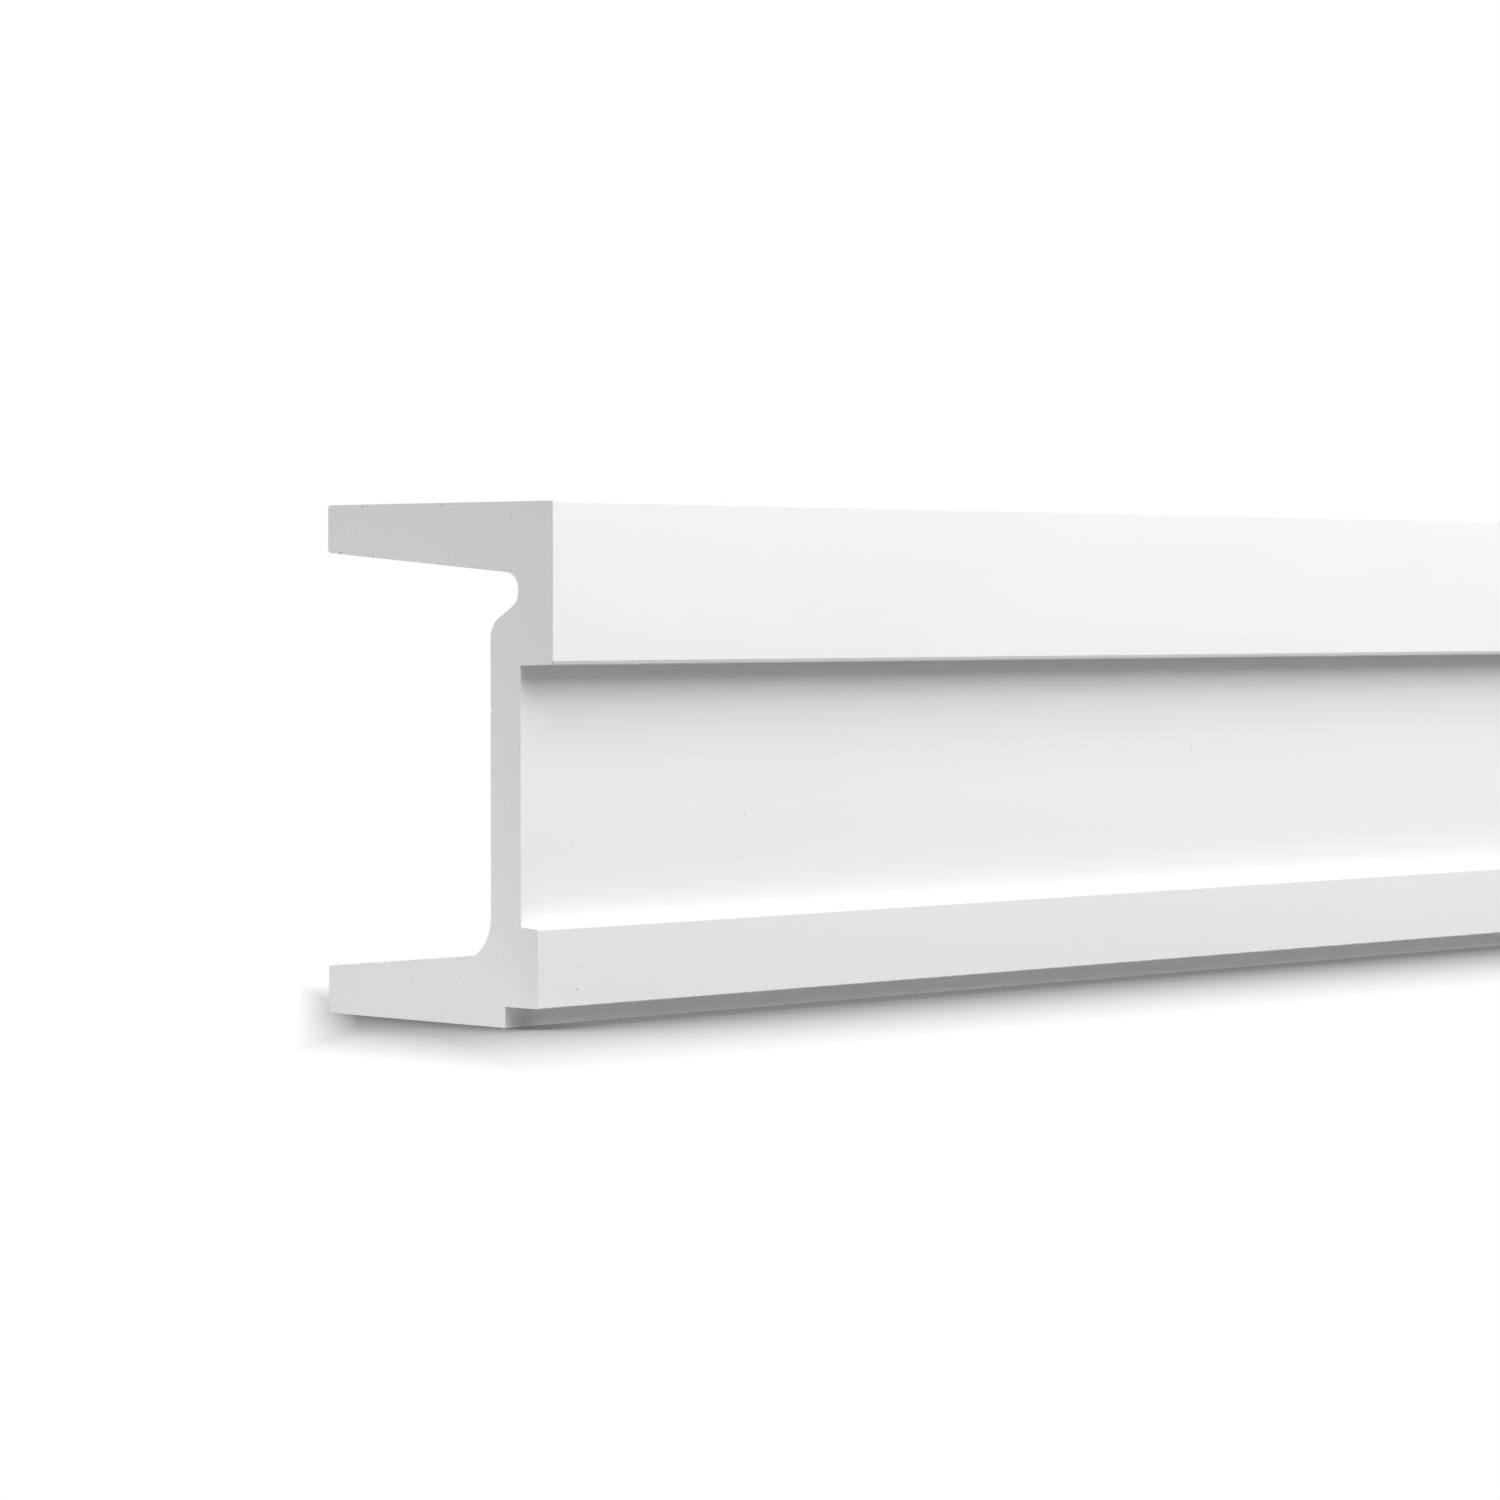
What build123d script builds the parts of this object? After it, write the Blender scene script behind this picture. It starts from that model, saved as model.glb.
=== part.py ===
# Panel moulding: one length of white rigid-foam moulding with a hollow back.
# X runs along the length, the show face looks towards -Y, the wall side is +Y and Z is up.
# The origin is the middle of the base, where the moulding stands on its lower flange.
import os
from math import radians, tan

from build123d import *

# Overall sizes, in millimetres
length = 2000.0  # one stock length
height = 150.0
depth = 96.5  # from the face of the upper fascia to the wall

# Show face: every setback is measured back from the face of the upper fascia
upper_fascia_height = 46.2
frieze_setback = 13.5  # the flat band between the two fascias
lower_fascia_setback = 6.5
lower_fascia_height = 22.5
lip_setback = 20.0  # the narrow foot under the lower fascia
lip_height = 6.1

# Walls of the hollow back
upper_fascia_wall = 14.4
web_thickness = 12.5  # behind the frieze
flange_tip = 14.0  # both flanges, at the wall
flange_draft = 4.5  # degrees, so that the flanges leave the mould
ledge_draft = 4.5  # degrees, the top of the lower fascia falls to the front
soffit_draft = 2.0  # degrees, the underside of the upper fascia rises to the front

# Rounds of the hollow back
pocket_radius = 5.0  # both rounds of the pocket behind the upper fascia
pocket_flat = 0.4  # the straight run between them
shoulder_slope = 30.0  # degrees below level, from the pocket down to the web
shoulder_radius = 7.0
heel_radius = 13.0  # between the web and the lower flange

# Edges
top_edge_radius = 0.5  # the upper edge of the upper fascia
lower_edge_radius = 0.35  # both edges of the lower fascia
upper_tip_radius = 1.2  # both corners of the upper flange at the wall
lower_tip_radius = 0.7  # the upper corner of the lower flange at the wall
ledge_cove_radius = 0.8  # where the frieze meets the lower fascia
soffit_bevel_height = 1.0  # the small bevel on the lower edge of the upper fascia
soffit_bevel_setback = 0.5

# Levels and places that follow from the sizes above
soffit_level = height - upper_fascia_height
ledge_level = lip_height + lower_fascia_height
web_back = frieze_setback + web_thickness
upper_tip_level = height - flange_tip
flange_rise = tan(radians(flange_draft))
ledge_rise = tan(radians(ledge_draft)) * (frieze_setback - lower_fascia_setback)
soffit_fall = tan(radians(soffit_draft)) * (frieze_setback - soffit_bevel_setback)

# The pocket's round under the flange turns 90 degrees less the draft,
# and its lower round turns 90 degrees less the slope of the shoulder
pocket_top = upper_tip_level - flange_rise * (depth - upper_fascia_wall)
upper_round_run = pocket_radius * tan(radians(90 - flange_draft) / 2)
lower_round_run = pocket_radius * tan(radians(90 - shoulder_slope) / 2)
pocket_bottom = pocket_top - upper_round_run - pocket_flat - lower_round_run
shoulder_level = pocket_bottom - tan(radians(shoulder_slope)) * (web_back - upper_fascia_wall)
heel_level = flange_tip + flange_rise * (depth - web_back)

# Outline of the section as (distance from the face, height above the base), with each corner's round
sharp = 0.0
outline = [
    ((0, height), top_edge_radius),
    ((depth, height), upper_tip_radius),
    ((depth, upper_tip_level), upper_tip_radius),
    ((upper_fascia_wall, pocket_top), pocket_radius),
    ((upper_fascia_wall, pocket_bottom), pocket_radius),
    ((web_back, shoulder_level), shoulder_radius),
    ((web_back, heel_level), heel_radius),
    ((depth, flange_tip), lower_tip_radius),
    ((depth, 0), sharp),
    ((lip_setback, 0), sharp),
    ((lip_setback, lip_height), sharp),
    ((lower_fascia_setback, lip_height), lower_edge_radius),
    ((lower_fascia_setback, ledge_level), lower_edge_radius),
    ((frieze_setback, ledge_level + ledge_rise), ledge_cove_radius),
    ((frieze_setback, soffit_level - soffit_fall), sharp),
    ((soffit_bevel_setback, soffit_level), sharp),
    ((0, soffit_level + soffit_bevel_height), sharp),
]

# The section stands at the left end and runs the whole length
left_end = Plane(origin=(-length / 2, -depth / 2, 0), x_dir=(0, 1, 0), z_dir=(1, 0, 0))

with BuildPart() as panel_moulding:
    with BuildSketch(left_end) as section:
        with BuildLine():
            Polyline(*[corner for corner, _ in outline], close=True)
        make_face()
        for corner, radius in outline:
            if radius > sharp:
                fillet(section.vertices().sort_by_distance(corner)[0], radius)
    extrude(amount=length)

panel_moulding.part.label = "panel_moulding"

os.makedirs("parts", exist_ok=True)
export_step(panel_moulding.part, "parts/panel_moulding.step")

section_area = panel_moulding.part.volume / length
print(f"section {section_area:.1f} mm2, solid {panel_moulding.part.volume / 1e6:.3f} litres")
print("centre of mass", panel_moulding.part.center(CenterOf.MASS))
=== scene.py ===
# %% [markdown]
# # A length of white panel moulding
# The real thing is one stick of rigid foam, cast in a long mould and primed white at the works.
# Its section is a deep C: an upper fascia, a flat frieze set back behind it, a lower fascia with a
# small foot, and two flanges that reach back to the wall. The construction model already holds that
# section at its real size, so this lesson only dresses it: it opens the bubbles that the saw cut
# through, gives each surface its finish, and sets up the studio.

# %% Load the fixed frame
from math import pi, radians

import bpy
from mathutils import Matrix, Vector


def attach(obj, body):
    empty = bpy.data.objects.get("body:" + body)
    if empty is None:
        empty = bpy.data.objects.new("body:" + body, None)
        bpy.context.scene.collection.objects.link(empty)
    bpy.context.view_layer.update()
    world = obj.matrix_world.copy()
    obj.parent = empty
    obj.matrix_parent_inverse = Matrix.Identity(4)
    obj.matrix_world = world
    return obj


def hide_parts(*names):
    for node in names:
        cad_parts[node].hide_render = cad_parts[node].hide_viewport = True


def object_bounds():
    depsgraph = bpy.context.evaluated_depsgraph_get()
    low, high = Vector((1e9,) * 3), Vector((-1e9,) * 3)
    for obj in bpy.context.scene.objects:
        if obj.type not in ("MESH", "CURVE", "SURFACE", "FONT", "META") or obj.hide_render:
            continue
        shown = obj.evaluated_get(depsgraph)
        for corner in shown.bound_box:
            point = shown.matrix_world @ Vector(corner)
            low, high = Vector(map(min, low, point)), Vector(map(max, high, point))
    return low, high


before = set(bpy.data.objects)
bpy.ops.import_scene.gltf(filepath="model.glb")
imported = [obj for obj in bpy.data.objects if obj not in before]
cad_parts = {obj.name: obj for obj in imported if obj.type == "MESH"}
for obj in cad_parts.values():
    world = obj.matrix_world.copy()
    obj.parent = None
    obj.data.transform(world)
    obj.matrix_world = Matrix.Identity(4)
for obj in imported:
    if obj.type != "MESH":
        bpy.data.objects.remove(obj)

cad_low, cad_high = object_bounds()
length, depth, height = cad_high - cad_low
left, front, base = cad_low
right, rear = cad_high.xy
mm = 0.001
print(f"moulding {length:.3f} m long, {depth / mm:.1f} mm deep and {height / mm:.1f} mm high")

# %% [markdown]
# ## The body
# The section's curves could be drawn again with a curve and a bevel, but then two drawings would have
# to agree. A copy of the construction mesh is always right, so the body starts as one. That mesh is
# loose triangles, so its doubles are merged and its flat triangles are dissolved into whole faces,
# which are easier to cut and to shade.


# %% Copy the section and clean the mesh
def make_active(piece):
    """Select one object alone, so that the next operator acts on nothing else."""
    bpy.ops.object.select_all(action="DESELECT")
    piece.select_set(True)
    bpy.context.view_layer.objects.active = piece


cad_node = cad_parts["panel_moulding"]
moulding = bpy.data.objects.new("moulding", cad_node.data.copy())
moulding.data.materials.clear()
bpy.context.scene.collection.objects.link(moulding)

make_active(moulding)
bpy.ops.mesh.customdata_custom_splitnormals_clear()
bpy.ops.object.mode_set(mode="EDIT")
bpy.ops.mesh.select_all(action="SELECT")
bpy.ops.mesh.remove_doubles(threshold=0.001 * mm)
bpy.ops.mesh.normals_make_consistent(inside=False)
bpy.ops.mesh.dissolve_limited(angle_limit=radians(0.2))
bpy.ops.object.mode_set(mode="OBJECT")
print("body has", len(moulding.data.polygons), "faces after cleaning")

# %% [markdown]
# ## Worn arrises
# No sawn or cast edge is a perfect line. The edges that the mould left rounded are rounded in the
# section already. The ends and the foot are sharp, so they get a very small bevel, which is enough to
# catch the light as a real arris does.

# %% Bevel the sharp edges
arris = 0.12 * mm
bpy.ops.object.mode_set(mode="EDIT")
bpy.ops.mesh.select_mode(type="EDGE")
bpy.ops.mesh.select_all(action="DESELECT")
bpy.ops.mesh.edges_select_sharp(sharpness=radians(60))
bpy.ops.mesh.bevel(offset=arris, segments=2, affect="EDGES")
bpy.ops.object.mode_set(mode="OBJECT")
print("body has", len(moulding.data.polygons), "faces with its arrises")

# %% [markdown]
# ## Helpers for the finishes
# A painted texture could give the colour, but it would need a picture. Noise on object coordinates
# needs none, has no seams, and keeps its scale in metres on any piece.


# %% Shared material helpers
def new_material(name):
    """A material with a clean Principled shader, and its tree for adding nodes."""
    material = bpy.data.materials.new(name)
    material.use_nodes = True
    tree = material.node_tree
    tree.nodes.clear()
    output = tree.nodes.new("ShaderNodeOutputMaterial")
    shader = tree.nodes.new("ShaderNodeBsdfPrincipled")
    tree.links.new(shader.outputs["BSDF"], output.inputs["Surface"])
    return material, tree, shader


def noise(tree, scale, detail, stretch=(1, 1, 1)):
    """Noise on object coordinates, in cycles for each metre, stretched along the axes."""
    place = tree.nodes.new("ShaderNodeTexCoord")
    mapping = tree.nodes.new("ShaderNodeMapping")
    mapping.inputs["Scale"].default_value = stretch
    texture = tree.nodes.new("ShaderNodeTexNoise")
    texture.inputs["Scale"].default_value = scale
    texture.inputs["Detail"].default_value = detail
    tree.links.new(place.outputs["Object"], mapping.inputs["Vector"])
    tree.links.new(mapping.outputs["Vector"], texture.inputs["Vector"])
    return texture.outputs["Fac"]


def ramp(tree, factor, low, high, start=0.3, end=0.7):
    """Turns a factor between start and end into a value between low and high."""
    node = tree.nodes.new("ShaderNodeMapRange")
    node.inputs["From Min"].default_value = start
    node.inputs["From Max"].default_value = end
    node.inputs["To Min"].default_value = low
    node.inputs["To Max"].default_value = high
    tree.links.new(factor, node.inputs["Value"])
    return node.outputs["Result"]


def larger(tree, first, second):
    """The larger of two values."""
    node = tree.nodes.new("ShaderNodeMath")
    node.operation = "MAXIMUM"
    tree.links.new(first, node.inputs[0])
    tree.links.new(second, node.inputs[1])
    return node.outputs["Value"]


def bump(tree, shader, relief, distance, strength):
    """Raises the surface by a height, as fine relief."""
    node = tree.nodes.new("ShaderNodeBump")
    node.inputs["Strength"].default_value = strength
    node.inputs["Distance"].default_value = distance
    tree.links.new(relief, node.inputs["Height"])
    tree.links.new(node.outputs["Normal"], shader.inputs["Normal"])


# %% [markdown]
# ## Matt white primer
# The cast faces carry a thin factory primer, sprayed on and almost even. One flat white would look
# like plastic film, so the tone drifts a little along the length, the gloss varies from place to
# place, and a very fine bump gives the dry surface of primer.


# %% Make the primer
def primer_material():
    material, tree, shader = new_material("matt_white_primer")
    drift = noise(tree, scale=35, detail=3.0, stretch=(0.3, 1, 1))
    tone = ramp(tree, drift, low=0.862, high=0.878)
    tree.links.new(tone, shader.inputs["Base Color"])
    matt = ramp(tree, noise(tree, scale=260, detail=2.0), low=0.50, high=0.60)
    tree.links.new(matt, shader.inputs["Roughness"])
    shader.inputs["Specular IOR Level"].default_value = 0.35
    grain = noise(tree, scale=900, detail=3.0)
    bump(tree, shader, grain, distance=0.02 * mm, strength=0.35)
    return material


primer = primer_material()
print("made", primer.name)

# %% [markdown]
# ## Sawn foam
# The ends are sawn and never painted, so they show the fine cells of the foam. The cells are about
# half a millimetre wide, too many to model, so noise of that size gives their tone and their relief.


# %% Make the sawn foam
def sawn_foam_material():
    material, tree, shader = new_material("sawn_foam")
    tone = ramp(tree, noise(tree, scale=1900, detail=4.0), low=0.80, high=0.88)
    tree.links.new(tone, shader.inputs["Base Color"])
    shader.inputs["Roughness"].default_value = 0.85
    shader.inputs["Specular IOR Level"].default_value = 0.2
    cells = noise(tree, scale=2600, detail=3.0)
    bump(tree, shader, cells, distance=0.06 * mm, strength=0.6)
    return material


sawn_foam = sawn_foam_material()
print("made", sawn_foam.name)

# %% [markdown]
# ## Painted shade in the bubbles
# Inside a bubble the foam is a little darker than the sawn cells. That darker tone is painted shade,
# so that the small deep pits read dark.


# %% Make the raw foam
def bubble_shade_material():
    material, tree, shader = new_material("bubble_painted_shade")
    # Painted shade: a darker tone than the sawn cells, so that the pits look dark
    tone = ramp(tree, noise(tree, scale=3000, detail=2.0), low=0.68, high=0.78)
    tree.links.new(tone, shader.inputs["Base Color"])
    shader.inputs["Roughness"].default_value = 0.9
    shader.inputs["Specular IOR Level"].default_value = 0.15
    return material


bubble_shade = bubble_shade_material()
finishes = [primer, sawn_foam, bubble_shade]
PRIMER, SAWN, PIT_SHADE = range(len(finishes))
print("made", bubble_shade.name)

# %% Give each face its finish
for finish in finishes:
    moulding.data.materials.append(finish)
for face in moulding.data.polygons:
    looks_along = abs(face.normal.x) > 0.5
    face.material_index = SAWN if looks_along else PRIMER
print(sum(f.material_index == SAWN for f in moulding.data.polygons), "sawn faces")

# %% [markdown]
# ## Bubbles, pinholes and a chipped corner
# Foam foams: where the saw crosses a bubble it leaves a small pit, and where one sat at the mould's
# wall it leaves a pinhole in the face. They are about a millimetre wide at most, but they are holes,
# so they are cut as holes. Small balls are added where the bubbles are, and one Boolean takes them
# out. Two more balls take off the front corner that was knocked in handling and make the nick in the
# lower edge of the lower fascia.

# %% Where the bubbles are
frieze_setback = 13.5 * mm
lower_fascia_setback = 6.5 * mm
frieze = front + frieze_setback
lower_fascia = front + lower_fascia_setback

# Pits on the sawn left end: back from the face, height and radius, in millimetres
end_pits = [
    (81.1, 149.4, 0.36),
    (46.4, 149.4, 0.36),
    (54.6, 149.2, 0.22),
    (64.6, 148.8, 0.25),
    (17.2, 145.8, 0.25),
    (17.6, 146.9, 0.20),
    (5.3, 141.5, 0.24),
    (4.6, 139.9, 0.22),
    (90.9, 135.7, 0.56),
    (76.3, 134.5, 0.52),
    (40.9, 135.5, 0.22),
    (22.9, 93.0, 0.22),
    (14.2, 79.7, 0.28),
    (25.8, 90.4, 0.40),
    (64.6, 13.8, 0.22),
    (57.0, 4.2, 0.22),
]
# Pinholes in the cast faces: along from the left end, height and radius, in millimetres
frieze_pinholes = [
    (19.7, 51.5, 0.25),
    (47.9, 63.5, 0.20),
    (49.7, 63.3, 0.20),
    (91.1, 58.4, 0.28),
    (299.7, 74.3, 0.32),
]
lower_pinholes = [(15.5, 11.0, 0.32), (15.4, 17.1, 0.18)]
edge_nick = (446.8, 6.0, 0.45)
# The chip's ball: out from the front corner of the left end both ways, height and radius
corner_chip = (0.35, 103.5, 1.4)

# A bubble that is cut above its middle is deeper than half a ball, so its pit looks dark
sunk = 0.4
balls = []
# The bubbles and pinholes take the darker finish, which is painted shade
for back, up, size in end_pits:
    balls.append(((left + sunk * size * mm, front + back * mm, up * mm), size * mm, PIT_SHADE))
for wall, pinholes in ((frieze, frieze_pinholes), (lower_fascia, lower_pinholes)):
    for along, up, size in pinholes:
        balls.append(((left + along * mm, wall + sunk * size * mm, up * mm), size * mm, PIT_SHADE))
along, up, size = edge_nick
balls.append(((left + along * mm, lower_fascia, up * mm), size * mm, SAWN))
outward, up, size = corner_chip
balls.append(((left - outward * mm, front - outward * mm, up * mm), size * mm, SAWN))
print(len(balls), "bubbles and chips to cut")

# %% Cut the bubbles
bpy.ops.object.select_all(action="DESELECT")
bpy.ops.object.add(type="MESH", location=(0, 0, 0))
cutter = bpy.context.object
for finish in finishes:
    cutter.data.materials.append(finish)
bpy.ops.object.mode_set(mode="EDIT")
for place, radius, finish in balls:
    bpy.ops.mesh.select_all(action="DESELECT")
    bpy.ops.mesh.primitive_ico_sphere_add(subdivisions=3, radius=radius, location=place)
    cutter.active_material_index = finish
    bpy.ops.object.material_slot_assign()
bpy.ops.object.mode_set(mode="OBJECT")

make_active(moulding)
cut = moulding.modifiers.new("open_bubbles", "BOOLEAN")
cut.operation = "DIFFERENCE"
cut.solver = "EXACT"
cut.object = cutter
bpy.ops.object.modifier_apply(modifier=cut.name)
bpy.data.objects.remove(cutter)
print("body has", len(moulding.data.polygons), "faces with its bubbles")

# %% [markdown]
# ## Shading
# The rounds are made of narrow strips, so they are shaded smooth, and the sharp edges stay sharp. The
# angle is small, so that the bevel under the upper fascia stays crisp too. Smooth shading would bend
# the light on the wide flat faces beside the strips, so a Weighted Normal modifier lets each large
# face keep its own direction.

# %% Smooth the rounds and keep the flats flat
make_active(moulding)
bpy.ops.object.shade_smooth_by_angle(angle=radians(20))
weighted = moulding.modifiers.new("flat_faces_stay_flat", "WEIGHTED_NORMAL")
weighted.keep_sharp = True
weighted.weight = 90
bpy.ops.object.modifier_apply(modifier=weighted.name)

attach(moulding, "root")
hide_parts("panel_moulding")
print("the moulding stands in for its construction node")

# %% [markdown]
# ## The floor
# The floor is plain and pale. The camera sees it white, with a soft shadow round the foot. Light that
# bounces meets a duller floor, as in a studio with a grey ground, so the faces darken gently towards
# their lower edges, and white boards lie under the foot and beside the ends to lift what looks down.

# %% Lay the floor
floor_size = 80
bpy.ops.object.select_all(action="DESELECT")
bpy.ops.mesh.primitive_plane_add(size=floor_size, location=(0, 0, base))
floor = bpy.context.object
floor.name = "floor"
print("floor at height", floor.location.z)


# %% Helpers for the floor and the sky
def grey(value):
    """An RGBA colour with no tint."""
    return (value, value, value, 1.0)


def shown_rays(tree):
    """1 for rays that show the background: from the camera, in a reflection or through glass."""
    path = tree.nodes.new("ShaderNodeLightPath")
    shown = path.outputs["Is Camera Ray"]
    for kind in ("Is Glossy Ray", "Is Transmission Ray"):
        shown = larger(tree, shown, path.outputs[kind])
    return shown


def vector_step(tree, vector, operation, other=(0, 0, 0)):
    """One step of vector arithmetic."""
    node = tree.nodes.new("ShaderNodeVectorMath")
    node.operation = operation
    node.inputs[1].default_value = other
    tree.links.new(vector, node.inputs[0])
    return node.outputs["Value" if operation in ("LENGTH", "DOT_PRODUCT") else "Vector"]


def distance_from(tree, half_length, half_depth, centre=(0.0, 0.0)):
    """How far a point of the floor lies outside a rectangle."""
    place = tree.nodes.new("ShaderNodeTexCoord").outputs["Object"]
    place = vector_step(tree, place, "SUBTRACT", (*centre, 0))
    place = vector_step(tree, place, "ABSOLUTE")
    place = vector_step(tree, place, "SUBTRACT", (half_length, half_depth, 1))
    place = vector_step(tree, place, "MAXIMUM")
    return vector_step(tree, place, "LENGTH")


def distance_beyond(tree, point, direction):
    """How far a point of the floor lies beyond another, along one direction."""
    place = tree.nodes.new("ShaderNodeTexCoord").outputs["Object"]
    place = vector_step(tree, place, "SUBTRACT", point)
    return vector_step(tree, place, "DOT_PRODUCT", direction)


def mix(tree, factor, first, second):
    """Shows the first shader where the factor is 0 and the second where it is 1."""
    node = tree.nodes.new("ShaderNodeMixShader")
    tree.links.new(factor, node.inputs["Fac"])
    tree.links.new(first, node.inputs[1])
    tree.links.new(second, node.inputs[2])
    return node.outputs["Shader"]


# %% The floor that bounced light meets
def bounced_floor(tree):
    """A dull floor with a white board under the foot and one beside each end."""
    foot_board_margin = 12 * mm  # from each end
    end_board_half_length = 75 * mm
    end_board_half_depth = 92 * mm
    end_board_shift = 50 * mm  # towards the wall

    outside = distance_from(tree, length / 2, depth / 2)
    tone = ramp(tree, outside, low=0.12, high=0.45, start=30 * mm, end=350 * mm)
    under = distance_from(tree, length / 2 - foot_board_margin, depth / 2 - lower_fascia_setback)
    tone = larger(tree, tone, ramp(tree, under, low=0.90, high=0.0, start=0.0, end=4 * mm))
    for middle in (left - end_board_half_length, right + end_board_half_length):
        centre = (middle, end_board_shift)
        beside = distance_from(tree, end_board_half_length, end_board_half_depth, centre)
        tone = larger(tree, tone, ramp(tree, beside, low=0.85, high=0.0, start=0.0, end=10 * mm))
    diffuse = tree.nodes.new("ShaderNodeBsdfDiffuse")
    tree.links.new(tone, diffuse.inputs["Color"])
    return diffuse.outputs["BSDF"]


# %% [markdown]
# ## The shadow on the floor
# Ambient occlusion darkens the floor where the moulding stands over it. Left alone, that shadow would
# trail off for a long way, so it fades to white a hand's breadth from the foot: in front and behind,
# past the ends, and past a slanted line at the back corner of the left end, where a streak of it
# would otherwise lie beside the end.


# %% The floor that is seen
def shadow_fade(tree):
    """0 where the shadow is whole, and 1 where the floor is white."""
    start = 21 * mm  # inside the edge of the box, about at the foot
    reach = 85 * mm  # outside the edge of the box
    blend = 30 * mm  # how far the change at an end is spread
    slant = (-0.757, 0.654, 0)

    across = distance_from(tree, length, depth / 2 - start)
    along = distance_from(tree, length / 2 - blend, length)
    past_end = distance_from(tree, length / 2, length)
    past_slant = distance_beyond(tree, (left, rear, base), slant)
    fade = ramp(tree, across, low=0.0, high=1.0, start=0.0, end=start + reach)
    for other in (
        ramp(tree, along, low=0.2, high=0.0, start=0.0, end=2 * blend),
        ramp(tree, past_end, low=0.08, high=1.0, start=blend, end=3 * blend),
        ramp(tree, past_slant, low=0.0, high=1.0, start=-10 * mm, end=9.5 * mm),
    ):
        fade = larger(tree, fade, other)
    return fade


def seen_floor(tree):
    """A soft shadow close by, and white further off."""
    contact = tree.nodes.new("ShaderNodeAmbientOcclusion")
    contact.inputs["Distance"].default_value = 140 * mm
    tone = ramp(tree, contact.outputs["AO"], low=0.08, high=0.6, start=0.4, end=1.0)
    shadow = tree.nodes.new("ShaderNodeBsdfDiffuse")
    tree.links.new(tone, shadow.inputs["Color"])
    white = tree.nodes.new("ShaderNodeEmission")
    white.inputs["Color"].default_value = grey(1.0)
    return mix(tree, shadow_fade(tree), shadow.outputs["BSDF"], white.outputs["Emission"])


# %% Make the floor's finish
def floor_material():
    material = bpy.data.materials.new("pale_floor")
    material.use_nodes = True
    tree = material.node_tree
    tree.nodes.clear()
    output = tree.nodes.new("ShaderNodeOutputMaterial")
    surface = mix(tree, shown_rays(tree), bounced_floor(tree), seen_floor(tree))
    tree.links.new(surface, output.inputs["Surface"])
    return material


floor.data.materials.append(floor_material())
print("made", floor.data.materials[0].name)

# %% [markdown]
# ## The sky
# A plain even sky fills the shadows. It is dim as a light, so that the lamps can model the shape, and
# white where it is seen.

# %% Sky
world = bpy.data.worlds.new("studio_sky")
bpy.context.scene.world = world
world.use_nodes = True
sky = world.node_tree
sky.nodes.clear()


def even_sky(strength):
    """A sky of one brightness all over."""
    node = sky.nodes.new("ShaderNodeBackground")
    node.inputs["Color"].default_value = grey(1.0)
    node.inputs["Strength"].default_value = strength
    return node.outputs["Background"]


fill_strength = 0.20
seen_strength = 1.0
sky_output = sky.nodes.new("ShaderNodeOutputWorld")
sky_shader = mix(sky, shown_rays(sky), even_sky(fill_strength), even_sky(seen_strength))
sky.links.new(sky_shader, sky_output.inputs["Surface"])
print("sky made")

# %% [markdown]
# ## The lamps
# A wide soft light stands far in front and above, and throws the long shadow under the upper fascia.
# A strip overhead brightens the top and the ledge, one behind shows the hollow back, and a small one
# at each end lights the sawn section.


# %% Lamps
def soft_light(name, place, target, width, tall, radiance):
    """A rectangular soft light that faces a point. Its power follows from how bright its face is."""
    lamp = bpy.data.lights.new(name, "AREA")
    lamp.shape = "RECTANGLE"
    lamp.size = width
    lamp.size_y = tall
    lamp.energy = radiance * pi * width * tall
    light = bpy.data.objects.new(name, lamp)
    bpy.context.scene.collection.objects.link(light)
    light.location = place
    light.rotation_euler = (Vector(target) - Vector(place)).to_track_quat("-Z", "Y").to_euler()
    light.visible_camera = False
    print(name, "power", round(lamp.energy, 1), "W")


soft_light(
    "front_light",
    place=(0.575, front - 3.336, 2.05),
    target=(0.575, front, 0.08),
    width=4.85,
    tall=1.80,
    radiance=3.97,
)
soft_light(
    "top_light",
    place=(0.25, front - 0.375, 0.68),
    target=(0.25, front, 0.08),
    width=3.5,
    tall=0.375,
    radiance=2.30,
)
soft_light(
    "back_light",
    place=(0, 1.20, 0.12),
    target=(0, 0, 0.07),
    width=2.4,
    tall=0.20,
    radiance=5.5,
)
end_gap = 0.45
towards_middle = 0.94
for side, end in (("left", left - end_gap), ("right", right + end_gap)):
    soft_light(
        f"{side}_end_light",
        place=(end, 0.10, 0.06),
        target=(towards_middle * end, 0.10, 0),
        width=0.45,
        tall=0.12,
        radiance=6.1,
    )

# %% [markdown]
# ## The camera
# The camera stands about 1.4 m from the near end, a little above the frieze, and looks half along the
# moulding and half at its face, almost level, through a long lens.

# %% Camera
near_corner = Vector((left, front, base))
corner_to_eye = Vector((-0.9590, -1.0137, 0.1200))
eye = near_corner + corner_to_eye
turn_right = radians(45.69)
look_down = radians(1.654)
camera_data = bpy.data.cameras.new("camera")
camera_data.sensor_width = 36
camera_data.lens = 118.8
camera = bpy.data.objects.new("camera", camera_data)
bpy.context.scene.collection.objects.link(camera)
camera.location = eye
camera.rotation_euler = (radians(90) - look_down, 0, -turn_right)
bpy.context.scene.camera = camera
bpy.context.scene.view_settings.view_transform = "Standard"
print("camera at", [round(c, 3) for c in eye])
